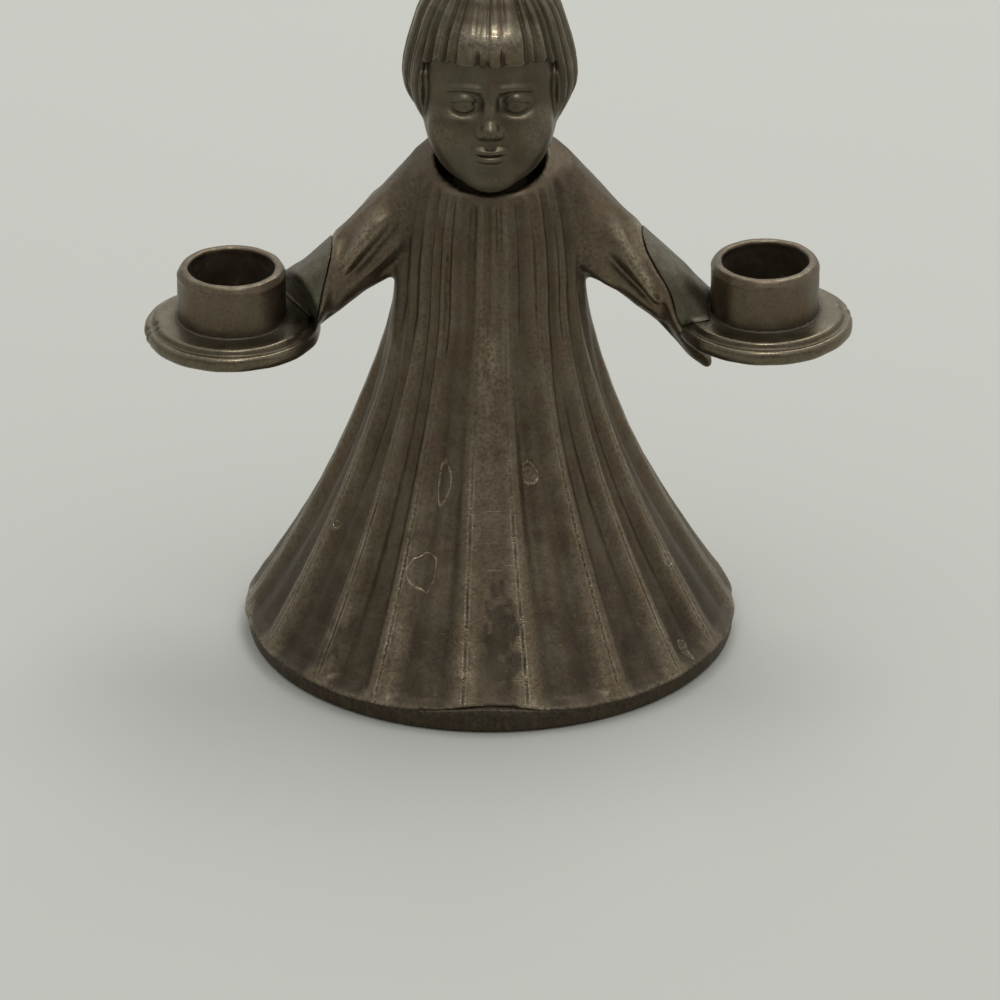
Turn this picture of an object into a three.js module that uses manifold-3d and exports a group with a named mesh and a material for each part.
// Choir boy candle holder in cast pewter, in millimetres, +Z up, the figure facing -Y.
// The origin is the centre of the flat underside. Left and right are the viewer's, from the front.
// A hollow robe is cast in a front and a back half that meet at the plane y = 0, and a plate closes it.
// The head stands in the collar. Each hand comes out of a sleeve and grips a drip pan with a candle cup on it.
import * as THREE from "three";
import { mergeVertices } from "three/addons/utils/BufferGeometryUtils.js";
import Module from "manifold-3d";

const wasm = await Module();
wasm.setup();

// Fits
const FIT = 0.3; // soldered gap round a spigot, a tang or a gripped rim
const BEAD_GAP = 0.1; // between a solder bead and the wall that it runs round
const PAST = 1; // a cutting body runs this far past the face that it cuts

// Base plate
const BASE_RADIUS = 26.7;
const BASE_BAND = 2.0; // height of the plate's visible edge
const BASE_EDGE = 0.35; // bevel along the foot
const BASE_SPIGOT_RISE = 1.4; // locating ring that stands inside the hem
const BASE_SPIGOT_WALL = 1.6;
const VENT_RADIUS = 1.5;
const VENT_OFFSET = 14; // lets hot air out of the closed robe

// Robe
const HEM_OVERHANG = 0.15; // least overhang, in the pleats' valleys
const CHEST_RADIUS = 10.6; // over the pleats' ridges
const CHEST_RISE = 40; // hem to armpit
const CHEST_FLATTEN = 0.15; // how much thinner the chest is front to back
const SKIRT_FLARE = 1.55; // power of the skirt's sweep from hem to chest
const SHOULDER_RISE = 22; // height of the dome that the collar cuts
const SHOULDER_LEAN = 0.06; // backward lean of the dome, per millimetre of rise
const WALL = 1.4;

// Pleats
const PLEAT_RIDGES = [-90, -65, -45, -28, -6.5, 9, 32, 50, 66, 90]; // degrees from the centre line, in front
const PLEAT_SOFT_RIDGES = [-17, 20.5]; // softer ridges half way between two others
const PLEAT_RIM_DEPTH = 0.25; // at the hem's rim
const PLEAT_RIM = 1.4; // height over which the valleys deepen from the rim
const PLEAT_SKIRT_DEPTH = 1.1;
const PLEAT_CHEST_DEPTH = 0.5;
const PLEAT_HALF_RIDGE = 0.5; // height of a soft ridge at the hem; at the chest all valleys have one
const PLEAT_TOP = 0.045; // half width of a ridge's flat top, as a share of the way to the next
const PLEAT_FALL = 0.15; // share of that way over which a ridge falls at the hem
const PLEAT_CHEST_FALL = 0.27;
const PANEL_HOLLOW = 0.3; // dip of the panel between the two middle ridges, as a share of the depth

// Collar and neck
const COLLAR_RADIUS = 6.0;
const COLLAR_RISE = 14.5; // armpit to the middle of the collar's rim
const COLLAR_TILT = 16; // degrees, front lower
const COLLAR_DEPTH = 4.5;
const NECK_RADIUS = 3.9;
const NECK_SPIGOT_RADIUS = 2.8;
const NECK_SPIGOT_LENGTH = 3.6;
const COLLAR_FLOOR = 4.4; // thickness under the neck
const NECK_BEAD = 0.7;

// Head, its heights measured from the collar's rim
const CHIN_RISE = -1.4;
const CHIN_FORWARD = 3.0; // the face leans out this far by its chin
const HEAD_RISE = 9.2; // middle of the face
const FRINGE_RISE = 14.2;
const HAIR_FOOT_RISE = 4.2; // lower edge of the hair
const CROWN_RISE = 23.0;
const FACE_HALF_WIDTH = 7.5;
const FACE_HALF_DEPTH = 7.7;
const FACE_SQUARE = 2.4; // power of the face's plan, 2 for an oval
const HAIR_HALF_WIDTH = 9.5;
const HAIR_HALF_DEPTH = 9.4;
const HAIR_BACK = 0.6; // the hair's middle lies this far behind the face's
const FACE_WINDOW = 6.85; // half the opening that the hair leaves for the face
const FACE_WINDOW_DEPTH = 4.3; // how far back from the fringe the opening goes
const FACE_WINDOW_DROP = 2; // the opening runs on this far below the hair's foot

// Sleeves, along an axis that falls outwards from the collar
const ARM_DROP = 41.4; // degrees
const ARM_BACK = 2.0; // the axis starts this far behind the middle
const SLEEVE_ROOT_RISE = 5.35; // half height above the axis at the collar
const SLEEVE_RISE_START = 3; // along the axis, where that height starts to fall off
const SLEEVE_RISE_END = 20;
const SLEEVE_ROOT_FALL = 5.5; // half height below the axis at the collar
const SLEEVE_CUFF_FALL = 3.0; // the same near the cuff
const SLEEVE_FALL_START = 8;
const SLEEVE_FALL_END = 24;
const SLEEVE_ROOT_DEPTH = 5.2;
const SLEEVE_DEPTH_TAPER = 0.045; // loss of half depth per millimetre
const FOLD_FADE = 1.5; // half the length over which a fold starts or runs out
const TONGUE_ROUND = 0.8; // share of the sleeve's size at the tongue's tip
const HAND_LIP = 0.3; // the hand is this much smaller than the sleeve
const TANG_LIP = 1.9; // and its tang inside the sleeve this much, to leave metal under the deepest fold
const HAND_TANG = 4.5; // length of the tang before and after the cuff
const HAND_GRIP = 5.2; // length past the pan's rim
const HAND_ROUND = 0.7; // share of the hand's size at its tip

// Drip pan
const PAN_RADIUS = 9.6;
const PAN_THICKNESS = 2.4;
const PAN_ROUND = 0.5; // the edge draws in this much to its foot
const PAN_LIP = 0.95; // width of the outer step
const PAN_LIP_RISE = 1.7;
const PAN_STEP = 0.3; // width of the slope up to the flat
const PAN_STEP_RISE = 0.5;
const PAN_FLOOR = 0.5; // metal left under the cup's spigot

// Candle cup
const CUP_BORE = 4.7; // radius, for a candle of 9 mm
const CUP_WALL = 1.2;
const CUP_HEIGHT = 6.0;
const CUP_FLOOR = 0.7;
const CUP_DRAFT = 0.15; // the bore narrows this much to its floor
const CUP_LIP = 0.12; // the rim stands proud of the wall
const CUP_LIP_HEIGHT = 0.9;
const CUP_BEVEL = 0.3;
const CUP_SPIGOT_RADIUS = 2.6;
const CUP_BEAD = 0.5;

// Left arm
const LEFT_OVERREACH = 1.35; // edge of the base to the cup's axis, so that the holder stays steady
const LEFT_BITE = 4.85; // the arm's axis meets the pan's middle plane this far inside its rim
const LEFT_CUFF_GAP = 0.18; // rim of the pan to the cuff, along X at the arm's axis
const LEFT_CUFF_LEAN = 12.3; // degrees from upright
const LEFT_CUFF_RISE = 3.65; // half height of the sleeve above its axis near the cuff
const LEFT_TONGUE = 4.5; // under the hand the sleeve runs on past the cuff this far, as a tongue
const LEFT_TONGUE_DROP = 4; // its flat top below the axis; here below the sleeve too, so that none is left
const LEFT_DROOP = 0; // the tongue hangs this much lower at its tip

// Right arm
const RIGHT_OVERREACH = 3.1;
const RIGHT_BITE = 2.16;
const RIGHT_CUFF_GAP = 0.97;
const RIGHT_CUFF_LEAN = 20.8;
const RIGHT_CUFF_RISE = 4.0;
const RIGHT_TONGUE = 8.66;
const RIGHT_TONGUE_DROP = 0.3;
const RIGHT_DROOP = 0.75;

// Facets
const PLEAT_COLUMNS = [0, 0.06, 0.2, 0.5, 0.8, 0.94]; // as shares of the way from a ridge to the next
const BASE_SIDES = 96;
const SKIRT_LEVELS = 7;
const DOME_LEVELS = 5;
const CAVITY_COLUMNS = 48;
const ROUND_SIDES = 36;
const SLEEVE_SIDES = 40;
const SLEEVE_RINGS = 16;
const HAND_RINGS = 6;
const HEAD_COLUMNS = 32;
const HEAD_RINGS = 18;
const HAIR_COLUMNS = 40;
const BIG = 100; // side of a block that cuts a half space

// Worked out from the values above
const { degToRad: radians, lerp, smoothstep } = THREE.MathUtils;
const HEM_RADIUS = BASE_RADIUS + HEM_OVERHANG + PLEAT_RIM_DEPTH;
const HEM_Z = BASE_BAND;
const CHEST_Z = HEM_Z + CHEST_RISE;
const COLLAR_Z = CHEST_Z + COLLAR_RISE;
const NECK_Z = COLLAR_Z - COLLAR_DEPTH;
const CAVITY_TOP = NECK_Z - COLLAR_FLOOR;
const CUP_RADIUS = CUP_BORE + CUP_WALL;
const ARM_SLOPE = Math.tan(radians(ARM_DROP));
const SPIGOT_TOP = BASE_BAND + BASE_SPIGOT_RISE;

// Folds that wind down a sleeve: where each starts and ends before the cuff, along the axis, and at how many
// degrees about the axis, from the front and up positive, with its width in degrees and its height
const LEFT_FOLDS = [
  { start: 11.4, end: 3.8, from: 45, to: 22, wide: 15, high: 0.6 },
  { start: 12.4, end: 3.8, from: 24, to: 4, wide: 9, high: -0.65 },
  { start: 14.4, end: 5.4, from: 4, to: -10, wide: 9, high: 0.35 },
  { start: 13.4, end: 6.4, from: -26, to: -34, wide: 10, high: -0.5 },
];
const RIGHT_FOLDS = [
  { start: 10.1, end: 1.6, from: 45, to: 0, wide: 14, high: 0.7 },
  { start: 9.1, end: 1.6, from: 6, to: -13, wide: 9, high: -0.75 },
  { start: 13.6, end: 5.6, from: -22, to: -34, wide: 12, high: 0.4 },
  { start: 14.6, end: 3.6, from: -52, to: -62, wide: 11, high: -0.55 },
];

// What differs from one hand-finished arm to the other
const ARMS = [
  {
    name: "left",
    side: -1,
    reach: BASE_RADIUS + LEFT_OVERREACH,
    bite: LEFT_BITE,
    cuffGap: LEFT_CUFF_GAP,
    cuffLean: LEFT_CUFF_LEAN,
    cuffRise: LEFT_CUFF_RISE,
    tongue: LEFT_TONGUE,
    tongueDrop: LEFT_TONGUE_DROP,
    droop: LEFT_DROOP,
    folds: LEFT_FOLDS,
  },
  {
    name: "right",
    side: 1,
    reach: BASE_RADIUS + RIGHT_OVERREACH,
    bite: RIGHT_BITE,
    cuffGap: RIGHT_CUFF_GAP,
    cuffLean: RIGHT_CUFF_LEAN,
    cuffRise: RIGHT_CUFF_RISE,
    tongue: RIGHT_TONGUE,
    tongueDrop: RIGHT_TONGUE_DROP,
    droop: RIGHT_DROOP,
    folds: RIGHT_FOLDS,
  },
];

const pewter = (color, roughness) => new THREE.MeshStandardMaterial({ color, roughness, metalness: 0.9 });

// A closed geometry as a solid that can be joined and cut
function solidOf(geometry) {
  const bare = new THREE.BufferGeometry();
  bare.setAttribute("position", geometry.getAttribute("position"));
  if (geometry.index) bare.setIndex(geometry.index);
  const merged = mergeVertices(bare, 1e-4);
  return new wasm.Manifold(
    new wasm.Mesh({
      numProp: 3,
      vertProperties: new Float32Array(merged.getAttribute("position").array),
      triVerts: new Uint32Array(merged.index.array),
    }),
  );
}

// A solid's surface as a geometry
function geometryOf(solid) {
  const { vertProperties, triVerts } = solid.getMesh();
  const geometry = new THREE.BufferGeometry();
  geometry.setAttribute("position", new THREE.BufferAttribute(vertProperties, 3));
  geometry.setIndex(new THREE.BufferAttribute(triVerts, 1));
  geometry.computeVertexNormals();
  return geometry;
}

// A skin over rings of equally many points, each anticlockwise seen from the last, closed by a fan at its ends
function loft(rings) {
  const count = rings[0].length;
  const points = rings.flat();
  const middleOf = (ring) => ring.reduce((sum, p) => sum.add(p), new THREE.Vector3()).divideScalar(count);
  const last = (rings.length - 1) * count;
  points.push(middleOf(rings[0]), middleOf(rings.at(-1)));
  const triangles = [];
  for (let j = 0; j < count; j++) {
    const next = (j + 1) % count;
    for (let i = 0; i + 1 < rings.length; i++) {
      const low = i * count;
      const high = low + count;
      triangles.push(low + j, low + next, high + next, low + j, high + next, high + j);
    }
    triangles.push(points.length - 2, next, j, points.length - 1, last + j, last + next);
  }
  return new THREE.BufferGeometry().setFromPoints(points).setIndex(triangles);
}

// A body turned about Z from points [radius, height] that run anticlockwise, from the axis back to the axis
function turned(profile, sides = ROUND_SIDES) {
  const points = profile.map(([r, z]) => new THREE.Vector2(r, z));
  return new THREE.LatheGeometry(points, sides).rotateX(Math.PI / 2);
}

const cylinder = (radius, low, high) =>
  turned([[0, low], [radius, low], [radius, high], [0, high]]);

// A block that fills the half space above a plane through a point, tipped about X or Y
function blockAbove(point, axis, angle) {
  const block = new THREE.BoxGeometry(BIG, BIG, BIG).translate(0, 0, BIG / 2);
  return block.applyMatrix4(new THREE.Matrix4().makeRotationAxis(axis, angle)).translate(...point);
}

// Robe

// Half width of the plain robe at a height: a swept skirt, then a dome over the shoulders
function robeRadius(z) {
  const share = (z - HEM_Z) / CHEST_RISE;
  if (share < 1) return CHEST_RADIUS + (HEM_RADIUS - CHEST_RADIUS) * (1 - share) ** SKIRT_FLARE;
  return CHEST_RADIUS * Math.sqrt(Math.max(0, 1 - ((z - CHEST_Z) / SHOULDER_RISE) ** 2));
}

const chestShare = (z) => Math.min(1, (z - HEM_Z) / CHEST_RISE);
const robeFlatten = (z) => 1 - CHEST_FLATTEN * chestShare(z);
const robeLean = (z) => SHOULDER_LEAN * Math.max(0, z - CHEST_Z);
const valleyDepth = (z) => lerp(PLEAT_SKIRT_DEPTH, PLEAT_CHEST_DEPTH, chestShare(z));
const pleatDepth = (z) => lerp(PLEAT_RIM_DEPTH, valleyDepth(z), Math.min(1, (z - HEM_Z) / PLEAT_RIM));

// Depth below the ridges at an azimuth from the centre line: flat-topped ridges, some with a softer one half
// way between, and a plain panel between the two middle ridges up to the chest. The back mirrors the front.
function pleat(degrees, z) {
  const front = degrees > 90 ? 180 - degrees : degrees;
  const next = Math.max(1, PLEAT_RIDGES.findIndex((at) => at >= front));
  const low = PLEAT_RIDGES[next - 1];
  const high = PLEAT_RIDGES[next];
  const off = Math.min(front - low, high - front) / (high - low);
  const holds = (at) => at > low && at < high;
  if (holds(0) && z <= CHEST_Z) return pleatDepth(z) * PANEL_HOLLOW * 2 * off;
  const fall = lerp(PLEAT_FALL, PLEAT_CHEST_FALL, chestShare(z));
  const sharp = 1 - smoothstep(off, PLEAT_TOP, PLEAT_TOP + fall);
  const half = PLEAT_SOFT_RIDGES.some(holds) ? PLEAT_HALF_RIDGE : 0;
  const soft = lerp(half, 1, chestShare(z)) * Math.max(0, 4 * off - 1);
  return pleatDepth(z) * (1 - Math.min(1, sharp + soft));
}

// Azimuths of the columns of facets from -90 degrees, the left side, round the front: even for the hollow
// inside, and close to the ridges outside
const CAVITY_AZIMUTHS = Array.from({ length: CAVITY_COLUMNS }, (_, j) => (360 * j) / CAVITY_COLUMNS - 90);
const ALL_RIDGES = [...PLEAT_RIDGES, ...PLEAT_RIDGES.map((at) => 180 - at).reverse().slice(1)];
const PLEAT_AZIMUTHS = ALL_RIDGES.slice(1).flatMap((next, i) =>
  PLEAT_COLUMNS.map((share) => lerp(ALL_RIDGES[i], next, share)),
);

// One level of the robe, shrunk at each azimuth by a depth
function robeRing(z, azimuths, depthAt) {
  return azimuths.map((degrees) => {
    const radius = robeRadius(z) - depthAt(degrees);
    const x = radius * Math.sin(radians(degrees));
    const y = -radius * Math.cos(radians(degrees)) * robeFlatten(z) + robeLean(z);
    return new THREE.Vector3(x, y, z);
  });
}

// Evenly spaced values from low to high
const levels = (low, high, count) => Array.from({ length: count + 1 }, (_, i) => lerp(low, high, i / count));

function robeBody() {
  const domeTop = CHEST_Z + SHOULDER_RISE * 0.9;
  const skirt = levels(HEM_Z + PLEAT_RIM, CHEST_Z, SKIRT_LEVELS);
  const heights = [HEM_Z, ...skirt, ...levels(CHEST_Z, domeTop, DOME_LEVELS).slice(1)];
  return solidOf(loft(heights.map((z) => robeRing(z, PLEAT_AZIMUTHS, (degrees) => pleat(degrees, z)))));
}

// The hollow inside, clear of the pleats' valleys
const cavityWall = (z) => WALL + valleyDepth(z);
const cavityRing = (z, shrink) => robeRing(z, CAVITY_AZIMUTHS, () => cavityWall(z) + shrink);

function robeCavity() {
  const heights = [HEM_Z - PAST, ...levels(HEM_Z, CAVITY_TOP, SKIRT_LEVELS)];
  return solidOf(loft(heights.map((z, i) => {
    const ring = cavityRing(Math.max(z, HEM_Z), 0);
    return i === 0 ? ring.map((p) => p.setZ(z)) : ring;
  })));
}

// Arms

// The frame of an arm: where its axis is at a distance from the collar, and the two directions across it
function armFrame(arm) {
  const drop = radians(ARM_DROP);
  const rim = arm.reach - PAN_RADIUS;
  const cuffX = rim - arm.cuffGap;
  const along = (x) => x / Math.cos(drop);
  const backEnd = along(arm.reach);
  const centre = (t) =>
    new THREE.Vector3(
      arm.side * t * Math.cos(drop),
      ARM_BACK * Math.max(0, 1 - t / backEnd),
      COLLAR_Z - t * Math.sin(drop),
    );
  const panMiddle = COLLAR_Z - (rim + arm.bite) * ARM_SLOPE;
  return {
    centre,
    across: new THREE.Vector3(0, arm.side, 0),
    up: new THREE.Vector3(arm.side * Math.sin(drop), 0, Math.cos(drop)),
    cuffT: along(cuffX),
    tongueT: along(cuffX) + arm.tongue,
    gripT: along(rim + HAND_GRIP),
    panZ: panMiddle - PAN_THICKNESS / 2,
    cupX: arm.side * arm.reach,
    cupY: 0,
  };
}

// How far the folds stand out at a distance before the cuff and an angle about the axis
function foldHeight(folds, before, about) {
  const heights = folds.map(({ start, end, from, to, wide, high }) => {
    const middle = lerp(from, to, (start - before) / (start - end));
    const run = smoothstep(before, end - FOLD_FADE, end + FOLD_FADE);
    const fade = smoothstep(before, start - FOLD_FADE, start + FOLD_FADE);
    return high * run * (1 - fade) * Math.exp(-(((about - middle) / wide) ** 2));
  });
  return heights.reduce((sum, high) => sum + high);
}

// An oval ring square to an arm's axis, egg-shaped: its half heights above and below the axis differ
function armRing(arm, t, lip, share, folded) {
  const frame = armFrame(arm);
  const rise = lerp(SLEEVE_ROOT_RISE, arm.cuffRise, smoothstep(t, SLEEVE_RISE_START, SLEEVE_RISE_END));
  const droop = arm.droop * smoothstep(t, SLEEVE_FALL_END, frame.tongueT);
  const narrowed = smoothstep(t, SLEEVE_FALL_START, SLEEVE_FALL_END);
  const fall = lerp(SLEEVE_ROOT_FALL, SLEEVE_CUFF_FALL, narrowed) + droop;
  const depth = SLEEVE_ROOT_DEPTH - SLEEVE_DEPTH_TAPER * t;
  return Array.from({ length: SLEEVE_SIDES }, (_, j) => {
    const turn = (2 * Math.PI * j) / SLEEVE_SIDES;
    const tall = Math.sin(turn) > 0 ? rise : fall;
    const about = THREE.MathUtils.radToDeg(Math.asin(Math.sin(turn)));
    const gain = (folded ? foldHeight(arm.folds, frame.cuffT - t, about) : 0) - lip;
    return frame
      .centre(t)
      .addScaledVector(frame.across, (depth + gain) * Math.cos(turn) * share)
      .addScaledVector(frame.up, (tall + gain) * Math.sin(turn) * share);
  });
}

// The half space beyond a cuff's slanted plane, set off from it by a gap
function beyondCuff(arm, gap) {
  const frame = armFrame(arm);
  const lean = radians(arm.cuffLean);
  const point = frame.centre(frame.cuffT);
  point.x += arm.side * gap * Math.cos(lean);
  point.z += gap * Math.sin(lean);
  return solidOf(blockAbove(point.toArray(), new THREE.Vector3(0, 1, 0), arm.side * (Math.PI / 2 - lean)));
}

// The half space over the tongue's flat top, set off from it by a gap
function overTongue(arm, gap) {
  const frame = armFrame(arm);
  const point = frame.centre(frame.cuffT).addScaledVector(frame.up, gap - arm.tongueDrop);
  return solidOf(blockAbove(point.toArray(), new THREE.Vector3(0, 1, 0), arm.side * radians(ARM_DROP)));
}

// A sleeve from inside the chest to its slanted cuff, and on under the hand as a tongue
function sleeve(arm) {
  const { tongueT } = armFrame(arm);
  const rings = levels(0, tongueT, SLEEVE_RINGS).map((t, i) =>
    armRing(arm, t, 0, i === SLEEVE_RINGS ? TONGUE_ROUND : 1, true),
  );
  return solidOf(loft(rings)).subtract(beyondCuff(arm, 0).intersect(overTongue(arm, 0)));
}

// A stretch of a hand's blade between two distances along the arm, over the tongue, grown by a gap all round
function blade(arm, from, to, lip, tip, grow) {
  const rings = levels(from - grow, to + grow, HAND_RINGS).map((t, i) =>
    armRing(arm, t, lip - grow, i === HAND_RINGS ? tip : 1, false),
  );
  return solidOf(loft(rings)).intersect(overTongue(arm, FIT - grow));
}

// The tang that holds a hand in its sleeve
function tang(arm, grow) {
  const { cuffT } = armFrame(arm);
  return blade(arm, cuffT - HAND_TANG, cuffT + HAND_TANG, TANG_LIP, 1, grow);
}

// The room that a pan and its cup take, with the soldered gap round them, and all that lies under the pan
function panRoom(arm) {
  const frame = armFrame(arm);
  const top = frame.panZ + PAN_THICKNESS;
  const place = (geometry) => solidOf(geometry.translate(frame.cupX, frame.cupY, 0));
  const pan = place(cylinder(PAN_RADIUS + FIT, frame.panZ - BIG / 4, top + FIT));
  return pan.add(place(cylinder(CUP_RADIUS + CUP_LIP + CUP_BEAD + FIT, frame.panZ, top + CUP_HEIGHT + FIT)));
}

// The straight step in a sleeve's end that a pan's rim lies in, with the soldered gap under and over it
function rimStep(arm) {
  const { panZ } = armFrame(arm);
  const step = new THREE.BoxGeometry(BIG, BIG, PAN_THICKNESS + 2 * FIT);
  const middle = arm.reach - PAN_RADIUS - FIT + BIG / 2;
  return solidOf(step.translate(arm.side * middle, 0, panZ + PAN_THICKNESS / 2));
}

// A hand goes on from the sleeve beyond the cuff and sits over the pan's rim, so that nothing of it is left
// below the pan's top inside the rim
function hand(arm) {
  const { cuffT, gripT } = armFrame(arm);
  const palm = blade(arm, cuffT - 2 * HAND_TANG, gripT, HAND_LIP, HAND_ROUND, 0);
  return palm.intersect(beyondCuff(arm, FIT)).add(tang(arm, 0)).subtract(panRoom(arm));
}

// The whole robe, then its halves
function robe() {
  const collar = blockAbove([0, 0, COLLAR_Z], new THREE.Vector3(1, 0, 0), radians(COLLAR_TILT));
  let made = robeBody();
  for (const arm of ARMS) made = made.add(sleeve(arm));
  made = made
    .subtract(robeCavity())
    .subtract(solidOf(collar))
    .subtract(solidOf(cylinder(COLLAR_RADIUS, NECK_Z, COLLAR_Z + BIG / 2)))
    .subtract(solidOf(cylinder(NECK_SPIGOT_RADIUS + FIT, CAVITY_TOP - PAST, NECK_Z + PAST)));
  for (const arm of ARMS) made = made.subtract(tang(arm, FIT)).subtract(rimStep(arm));
  return made;
}

function halfSpace(side) {
  return solidOf(new THREE.BoxGeometry(BIG, BIG, 2 * BIG).translate(0, (side * BIG) / 2, 0));
}

// Base plate: a disc with a bevelled foot, and a ring that fits inside the hem
function basePlate() {
  const disc = solidOf(
    turned(
      [
        [0, 0],
        [BASE_RADIUS - BASE_EDGE, 0],
        [BASE_RADIUS, BASE_EDGE],
        [BASE_RADIUS, BASE_BAND],
        [0, BASE_BAND],
      ],
      BASE_SIDES,
    ),
  );
  const foot = cavityRing(HEM_Z, FIT).map((p) => p.setZ(BASE_BAND / 2));
  const ring = solidOf(loft([foot, cavityRing(HEM_Z, FIT), cavityRing(SPIGOT_TOP, FIT)]));
  const inner = robeRadius(SPIGOT_TOP) - cavityWall(SPIGOT_TOP) - FIT - BASE_SPIGOT_WALL;
  const vent = cylinder(VENT_RADIUS, -PAST, BASE_BAND + PAST).translate(0, VENT_OFFSET, 0);
  return disc
    .add(ring)
    .subtract(solidOf(cylinder(inner, BASE_BAND, SPIGOT_TOP + PAST)))
    .subtract(solidOf(vent));
}

// The solder bead that holds the plate, in the corner above its ring
function baseBead() {
  const bead = BASE_SPIGOT_WALL / 2;
  const top = SPIGOT_TOP + bead;
  const body = solidOf(loft([cavityRing(SPIGOT_TOP, FIT + bead / 2), cavityRing(top, FIT)]
    .map((ring, i) => ring.map((p) => p.setZ(i ? top : SPIGOT_TOP)))));
  const inner = robeRadius(SPIGOT_TOP) - cavityWall(SPIGOT_TOP) - FIT - 1.5 * bead;
  return body.subtract(solidOf(cylinder(inner * robeFlatten(top), SPIGOT_TOP - PAST, top + PAST)));
}

// Head

// Half width and half depth of the hair's bell, as shares of its widest, and its height as a share of its rise
const HAIR_SHAPE = [
  [0, 0.68],
  [0.077, 0.815],
  [0.128, 0.893],
  [0.181, 0.949],
  [0.3, 1],
  [0.383, 0.988],
  [0.487, 0.944],
  [0.59, 0.886],
  [0.69, 0.826],
  [0.77, 0.755],
  [0.84, 0.655],
  [0.9, 0.535],
  [0.95, 0.385],
  [0.985, 0.2],
  [1, 0.06],
];

function hair() {
  const foot = COLLAR_Z + HAIR_FOOT_RISE;
  const rise = CROWN_RISE - HAIR_FOOT_RISE;
  const rings = HAIR_SHAPE.map(([share, width]) =>
    Array.from({ length: HAIR_COLUMNS }, (_, j) => {
      const turn = (2 * Math.PI * j) / HAIR_COLUMNS;
      const lock = 1 - 0.012 * (1 + Math.cos(j * Math.PI)) * (share < 0.95);
      return new THREE.Vector3(
        HAIR_HALF_WIDTH * width * lock * Math.cos(turn),
        HAIR_BACK + HAIR_HALF_DEPTH * width * lock * Math.sin(turn),
        foot + rise * share,
      );
    }),
  );
  const tall = FRINGE_RISE - HAIR_FOOT_RISE + FACE_WINDOW_DROP;
  const window = new THREE.BoxGeometry(2 * FACE_WINDOW, HAIR_HALF_DEPTH, tall).translate(
    0,
    HAIR_BACK + FACE_WINDOW_DEPTH - 1.5 * HAIR_HALF_DEPTH,
    COLLAR_Z + FRINGE_RISE - tall / 2,
  );
  return solidOf(loft(rings)).subtract(solidOf(window));
}

// A smooth bump of a height, about a place on the face given across and up as shares of its half sizes
const bump = (x, z, atX, atZ, wide, tall) => Math.exp(-(((x - atX) / wide) ** 2) - ((z - atZ) / tall) ** 2);

// How far the face stands out from its oval: brow, nose, cheeks, mouth and chin of a plain child's face
function faceRelief(x, z) {
  const paired = (atX, atZ, wide, tall) => bump(Math.abs(x), z, atX, atZ, wide, tall);
  return (
    1.1 * bump(x, z, 0, -0.3, 0.14, 0.13) +
    0.4 * bump(x, z, 0, -0.08, 0.1, 0.25) +
    0.35 * paired(0.36, 0.16, 0.3, 0.09) -
    0.5 * paired(0.4, -0.02, 0.2, 0.1) +
    0.3 * paired(0.5, -0.36, 0.28, 0.22) +
    0.35 * bump(x, z, 0, -0.56, 0.26, 0.08) +
    0.4 * bump(x, z, 0, -0.84, 0.26, 0.12)
  );
}

// An egg with a face towards -Y
function face() {
  const half = HEAD_RISE - CHIN_RISE;
  const middle = COLLAR_Z + HEAD_RISE;
  const rings = Array.from({ length: HEAD_RINGS + 1 }, (_, i) => {
    const tilt = Math.PI * (0.02 + (0.96 * i) / HEAD_RINGS);
    const share = -Math.cos(tilt);
    const girth = (1 - Math.abs(share) ** 2.5) ** 0.4;
    return Array.from({ length: HEAD_COLUMNS }, (_, j) => {
      const turn = (2 * Math.PI * j) / HEAD_COLUMNS;
      const wide = Math.abs(Math.cos(turn)) ** FACE_SQUARE;
      const deep = Math.abs(Math.sin(turn)) ** FACE_SQUARE;
      const square = (wide + deep) ** (-1 / FACE_SQUARE);
      const x = girth * square * Math.cos(turn);
      const front = Math.max(0, -Math.sin(turn));
      const lean = CHIN_FORWARD * Math.max(0, -share) ** 1.5;
      const y = FACE_HALF_DEPTH * girth * square * Math.sin(turn) - faceRelief(x, share) * front - lean;
      return new THREE.Vector3(FACE_HALF_WIDTH * x, y, middle + half * share);
    });
  });
  return solidOf(loft(rings));
}

function head() {
  const neck = turned([
    [0, NECK_Z - NECK_SPIGOT_LENGTH],
    [NECK_SPIGOT_RADIUS, NECK_Z - NECK_SPIGOT_LENGTH],
    [NECK_SPIGOT_RADIUS, NECK_Z],
    [NECK_RADIUS, NECK_Z],
    [NECK_RADIUS, COLLAR_Z + HEAD_RISE],
    [0, COLLAR_Z + HEAD_RISE],
  ]);
  const overRim = blockAbove([0, 0, COLLAR_Z + FIT], new THREE.Vector3(1, 0, 0), radians(COLLAR_TILT));
  const insideRim = cylinder(COLLAR_RADIUS - FIT, NECK_Z, COLLAR_Z + CROWN_RISE);
  const room = solidOf(overRim).add(solidOf(insideRim));
  return face().add(hair()).intersect(room).add(solidOf(neck));
}

// A three-sided solder bead round a foot of a given radius that stands on a flat at height z
function beadRound(radius, z, size) {
  const inner = radius + BEAD_GAP;
  return turned([[inner, z], [inner + size, z], [inner, z + size], [inner, z]]);
}

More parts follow.
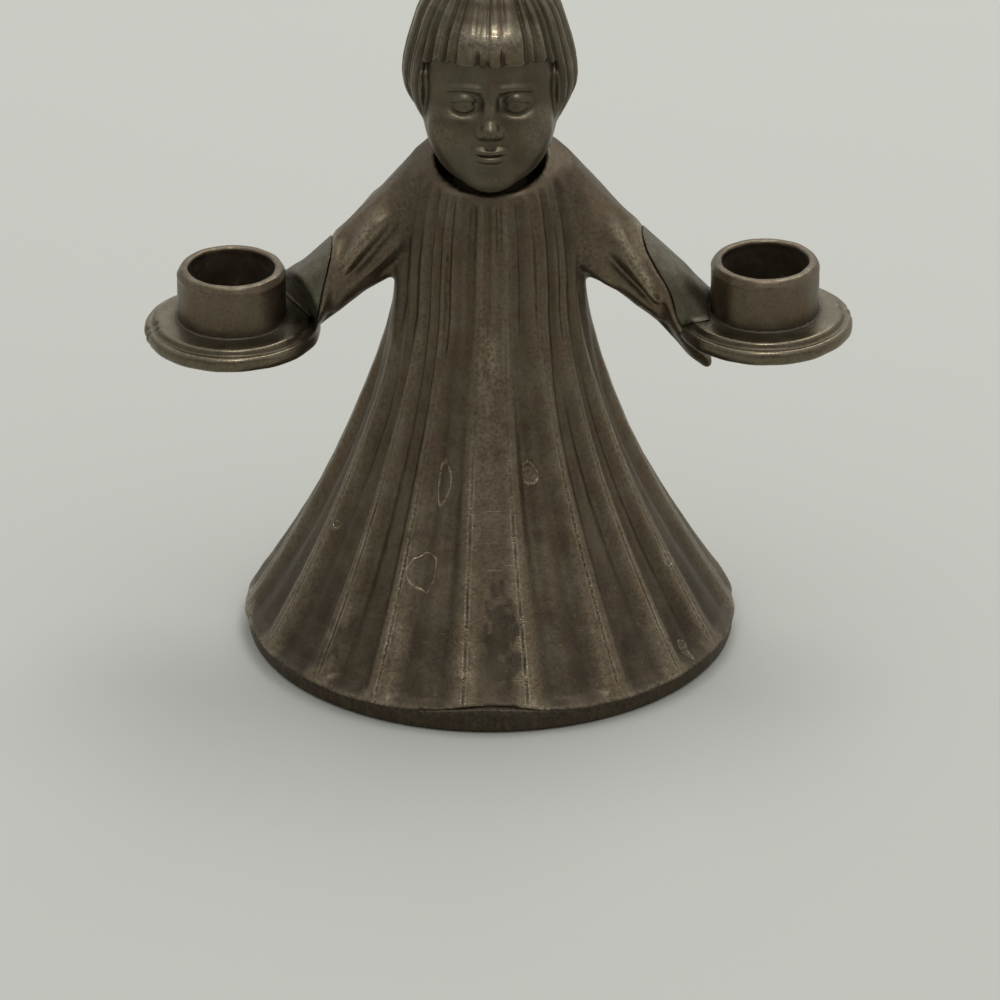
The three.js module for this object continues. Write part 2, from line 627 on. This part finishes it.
// Drip pan: a disc with a rounded edge, a lip and a step up to its flat, with a socket for the cup
function dripPan() {
  const step = PAN_RADIUS - PAN_LIP;
  const flat = CUP_RADIUS + CUP_BEAD + FIT;
  const stepTop = PAN_LIP_RISE + PAN_STEP_RISE;
  const socket = CUP_SPIGOT_RADIUS + FIT;
  return turned([
    [0, 0],
    [PAN_RADIUS - PAN_ROUND, 0],
    [PAN_RADIUS - PAN_ROUND / 4, PAN_LIP_RISE / 5],
    [PAN_RADIUS, PAN_LIP_RISE / 2],
    [PAN_RADIUS - PAN_ROUND / 5, PAN_LIP_RISE * 0.8],
    [PAN_RADIUS - PAN_ROUND * 0.75, PAN_LIP_RISE],
    [step, PAN_LIP_RISE],
    [step - PAN_STEP, stepTop],
    [flat, PAN_THICKNESS],
    [socket, PAN_THICKNESS],
    [socket, PAN_FLOOR],
    [0, PAN_FLOOR],
  ]);
}

// Candle cup: a short drafted bore with a bevelled rim, and a spigot under it
function candleCup() {
  const lip = CUP_RADIUS + CUP_LIP;
  const lipFoot = CUP_HEIGHT - CUP_BEVEL - CUP_LIP_HEIGHT;
  return turned([
    [0, PAN_FLOOR + FIT - PAN_THICKNESS],
    [CUP_SPIGOT_RADIUS, PAN_FLOOR + FIT - PAN_THICKNESS],
    [CUP_SPIGOT_RADIUS, 0],
    [CUP_RADIUS, 0],
    [CUP_RADIUS, lipFoot],
    [lip, lipFoot + CUP_LIP],
    [lip, CUP_HEIGHT - CUP_BEVEL],
    [CUP_BORE + CUP_BEVEL / 2, CUP_HEIGHT],
    [CUP_BORE, CUP_HEIGHT - CUP_BEVEL / 2],
    [CUP_BORE - CUP_DRAFT, CUP_FLOOR],
    [0, CUP_FLOOR],
  ]);
}

// The assembly
const holder = new THREE.Group();

function addPiece(name, geometry, color, roughness, parent = holder) {
  const piece = new THREE.Mesh(geometry, pewter(color, roughness));
  piece.name = name;
  parent.add(piece);
  return piece;
}

const wholeRobe = robe();
addPiece("robe_front", geometryOf(wholeRobe.intersect(halfSpace(-1))), 0x5c5347, 0.5);
addPiece("robe_back", geometryOf(wholeRobe.intersect(halfSpace(1))), 0x5c5347, 0.5);
addPiece("base_plate", geometryOf(basePlate()), 0x40392f, 0.55);
addPiece("base_solder", geometryOf(baseBead()), 0x6a665e, 0.5);
addPiece("head", geometryOf(head()), 0x5a5246, 0.45);
addPiece("neck_solder", beadRound(NECK_RADIUS, NECK_Z, NECK_BEAD), 0x6a665e, 0.5);

for (const arm of ARMS) {
  const frame = armFrame(arm);
  addPiece(`${arm.name}_hand`, geometryOf(hand(arm)), 0x5f5b51, 0.5);
  const stand = new THREE.Group();
  stand.position.set(frame.cupX, frame.cupY, frame.panZ);
  holder.add(stand);
  addPiece(`${arm.name}_drip_pan`, dripPan(), 0x554c40, 0.45, stand);
  const cup = addPiece(`${arm.name}_candle_cup`, candleCup(), 0x51493e, 0.45, stand);
  cup.position.z = PAN_THICKNESS;
  const bead = addPiece(`${arm.name}_cup_solder`, beadRound(CUP_RADIUS, 0, CUP_BEAD), 0x6a665e, 0.5, stand);
  bead.position.z = PAN_THICKNESS;
}

export default holder;
